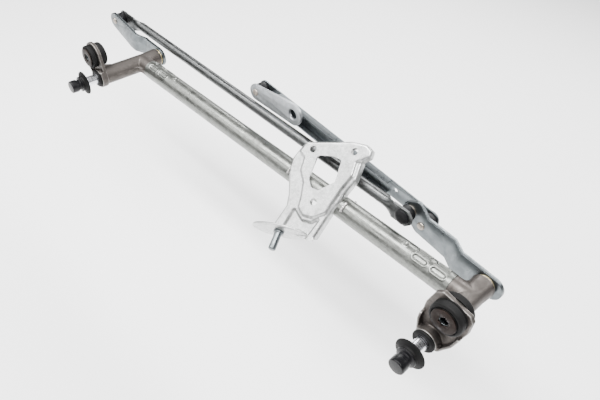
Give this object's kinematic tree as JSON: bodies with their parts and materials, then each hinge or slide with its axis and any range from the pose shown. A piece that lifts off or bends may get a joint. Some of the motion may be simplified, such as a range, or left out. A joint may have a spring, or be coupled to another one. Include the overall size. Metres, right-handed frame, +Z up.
{
  "type": "windshield wiper assembly",
  "caption": "Wiper linkage on a round frame tube: die-cast spindle housings, levers, a long and a short link, a crank arm and a pressed motor bracket.",
  "frame": {"origin": "middle of the left mounting sleeve's bore", "axes": "+X along the frame tube from the left spindle to the right one, -Y the way both spindles and mounting bolts point, +Z up towards the mounting ears"},
  "size_m": [0.6988, 0.1661, 0.1103],
  "materials": {
    "galvanised_steel": "satin",
    "cast_aluminium": "matt cast",
    "bronze": "satin",
    "black_plastic": "matt",
    "black_rubber": "matt",
    "zinc_steel": "satin",
    "brown_zinc": "satin",
    "weld_steel": "satin",
    "chrome_steel": "polished",
    "spring_steel": "satin",
    "black_gloss_plastic": "satin",
    "crank_steel": "satin"
  },
  "bodies": {
    "frame": {"frame_tube": "galvanised_steel", "left_housing": "cast_aluminium", "left_front_bush": "bronze", "left_rear_bush": "black_plastic", "left_nose_seal": "black_rubber", "left_grommet": "black_rubber", "left_grommet_sleeve": "zinc_steel", "left_grommet_washer": "brown_zinc", "right_housing": "cast_aluminium", "right_front_bush": "bronze", "right_rear_bush": "black_plastic", "right_nose_seal": "black_rubber", "right_grommet": "black_rubber", "right_grommet_sleeve": "zinc_steel", "right_grommet_washer": "brown_zinc", "motor_bracket": "galvanised_steel", "bracket_stud": "zinc_steel", "bracket_welds": "weld_steel"},
    "right_spindle": {"right_spindle_shaft": "chrome_steel", "right_front_washer": "zinc_steel", "right_circlip": "spring_steel", "right_thrust_washer": "bronze", "right_spindle_cap": "black_gloss_plastic", "right_spindle_skirt": "black_rubber", "right_lever": "zinc_steel", "right_front_ball_stud": "brown_zinc", "right_rear_ball_stud": "brown_zinc"},
    "left_spindle": {"left_spindle_shaft": "chrome_steel", "left_front_washer": "zinc_steel", "left_circlip": "spring_steel", "left_thrust_washer": "bronze", "left_spindle_cap": "black_gloss_plastic", "left_spindle_skirt": "black_rubber", "left_lever": "zinc_steel", "left_ball_stud": "brown_zinc"},
    "long_link": {"long_link": "galvanised_steel", "long_link_left_socket": "black_plastic", "long_link_left_socket_cap": "black_plastic", "long_link_right_socket": "black_plastic", "long_link_right_socket_cap": "black_plastic"},
    "short_link": {"short_link": "zinc_steel", "short_link_lever_socket": "black_plastic", "short_link_lever_socket_cap": "black_plastic", "short_link_crank_socket": "black_plastic", "short_link_crank_socket_cap": "black_plastic"},
    "crank": {"crank_arm": "crank_steel", "crank_ball_stud": "brown_zinc"}
  },
  "joints": [
    {"name": "right_spindle", "type": "hinge", "parent": "frame", "child": "right_spindle", "pos_m": [0.568, 0.06175, -0.027], "axis": [0, -1, 0], "range_deg": [0, 95]},
    {"name": "left_spindle", "type": "hinge", "parent": "frame", "child": "left_spindle", "pos_m": [0.012, 0.06175, -0.027], "axis": [0, -1, 0], "range_deg": [0, 95]},
    {"name": "long_link_joint", "type": "hinge", "parent": "right_spindle", "child": "long_link", "pos_m": [0.46673, 0.08775, -0.00823], "axis": [0, -1, 0], "range_deg": [-95, 0]},
    {"name": "short_link_joint", "type": "hinge", "parent": "right_spindle", "child": "short_link", "pos_m": [0.48233, 0.11025, -0.01951], "axis": [0, -1, 0], "range_deg": [-95, 0]},
    {"name": "crank_joint", "type": "hinge", "parent": "short_link", "child": "crank", "pos_m": [0.21809, 0.11025, 0.01107], "axis": [0, -1, 0], "range_deg": [0, 150]}
  ],
  "couplings": [
    {"joint": "left_spindle", "follows": "right_spindle", "ratio": 1},
    {"joint": "long_link_joint", "follows": "right_spindle", "ratio": -1},
    {"joint": "short_link_joint", "follows": "right_spindle", "ratio": -1}
  ]
}
